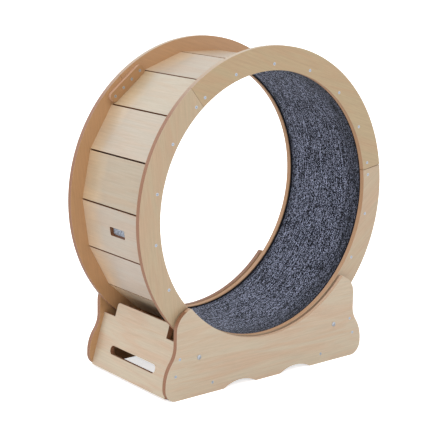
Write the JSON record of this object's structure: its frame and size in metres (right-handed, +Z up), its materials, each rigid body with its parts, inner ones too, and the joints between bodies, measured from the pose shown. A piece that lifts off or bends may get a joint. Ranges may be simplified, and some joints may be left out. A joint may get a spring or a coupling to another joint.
{
  "type": "cat exercise wheel",
  "caption": "Plywood running wheel for a cat with a carpet track, carried on grooved rollers in a low plywood base.",
  "frame": {"origin": "centre of the base's footprint on the floor, under the wheel's axis", "axes": "+Z up; Y along the wheel's axis, with the pictured face at -Y; X along the run, from end panel to end panel"},
  "size_m": [0.9, 0.3954, 0.96],
  "materials": {
    "ring_plywood": "clear satin lacquer on birch plywood, reddish-brown layered edges",
    "slat_plywood": "clear satin lacquer on birch plywood, grain across the track",
    "plate_plywood": "clear satin lacquer on birch plywood",
    "base_plywood": "clear satin lacquer on birch plywood, grain along the base",
    "rail_wood": "planed solid wood",
    "carpet_pile": "dense needle carpet, dark blue-grey melange",
    "zinc_screw": "bright zinc",
    "bolt_steel": "bright zinc",
    "roller_rubber": "matt black rubber",
    "hub_nylon": "natural nylon",
    "bearing_steel": "ground steel"
  },
  "bodies": {
    "base": {"side_panel_front": "base_plywood", "side_panel_rear": "base_plywood", "end_panel_left": "base_plywood", "end_panel_right": "base_plywood", "cross_rail_left": "rail_wood", "cross_rail_right": "rail_wood", "panel_screws": "zinc_screw", "axle_bolts": "bolt_steel", "axle_spacers": "bolt_steel", "axle_nuts": "bolt_steel"},
    "wheel": {"ring_front_segment_1": "ring_plywood", "ring_front_segment_2": "ring_plywood", "ring_front_segment_3": "ring_plywood", "ring_rear_segment_1": "ring_plywood", "ring_rear_segment_2": "ring_plywood", "ring_rear_segment_3": "ring_plywood", "slat_01": "slat_plywood", "slat_02": "slat_plywood", "slat_03": "slat_plywood", "slat_04": "slat_plywood", "slat_05": "slat_plywood", "slat_06": "slat_plywood", "slat_07": "slat_plywood", "slat_08": "slat_plywood", "slat_09": "slat_plywood", "slat_10": "slat_plywood", "slat_11": "slat_plywood", "slat_12": "slat_plywood", "slat_13": "slat_plywood", "slat_14": "slat_plywood", "slat_15": "slat_plywood", "slat_16": "slat_plywood", "slat_17": "slat_plywood", "slat_18": "slat_plywood", "carpet_track": "carpet_pile", "splice_plate_front_1": "plate_plywood", "splice_plate_front_2": "plate_plywood", "splice_plate_front_3": "plate_plywood", "splice_plate_rear_1": "plate_plywood", "splice_plate_rear_2": "plate_plywood", "splice_plate_rear_3": "plate_plywood", "ring_screws_front": "zinc_screw", "ring_screws_rear": "zinc_screw", "splice_screws_front": "zinc_screw", "splice_screws_rear": "zinc_screw"},
    "roller_front_left": {"roller_front_left_tyre": "roller_rubber", "roller_front_left_hub": "hub_nylon", "roller_front_left_bearing": "bearing_steel"},
    "roller_front_right": {"roller_front_right_tyre": "roller_rubber", "roller_front_right_hub": "hub_nylon", "roller_front_right_bearing": "bearing_steel"},
    "roller_rear_left": {"roller_rear_left_tyre": "roller_rubber", "roller_rear_left_hub": "hub_nylon", "roller_rear_left_bearing": "bearing_steel"},
    "roller_rear_right": {"roller_rear_right_tyre": "roller_rubber", "roller_rear_right_hub": "hub_nylon", "roller_rear_right_bearing": "bearing_steel"}
  },
  "joints": [
    {"name": "wheel_spin", "type": "hinge", "parent": "base", "child": "wheel", "pos_m": [0, 0, 0.51], "axis": [0, 1, 0], "continuous": true},
    {"name": "roller_front_left_spin", "type": "hinge", "parent": "base", "child": "roller_front_left", "pos_m": [-0.25778, -0.165, 0.11306], "axis": [0, 1, 0], "continuous": true},
    {"name": "roller_front_right_spin", "type": "hinge", "parent": "base", "child": "roller_front_right", "pos_m": [0.25778, -0.165, 0.11306], "axis": [0, 1, 0], "continuous": true},
    {"name": "roller_rear_left_spin", "type": "hinge", "parent": "base", "child": "roller_rear_left", "pos_m": [-0.25778, 0.165, 0.11306], "axis": [0, 1, 0], "continuous": true},
    {"name": "roller_rear_right_spin", "type": "hinge", "parent": "base", "child": "roller_rear_right", "pos_m": [0.25778, 0.165, 0.11306], "axis": [0, 1, 0], "continuous": true}
  ],
  "couplings": [
    {"joint": "roller_front_left_spin", "follows": "wheel_spin", "ratio": -19.565},
    {"joint": "roller_front_right_spin", "follows": "wheel_spin", "ratio": -19.565},
    {"joint": "roller_rear_left_spin", "follows": "wheel_spin", "ratio": -19.565},
    {"joint": "roller_rear_right_spin", "follows": "wheel_spin", "ratio": -19.565}
  ]
}
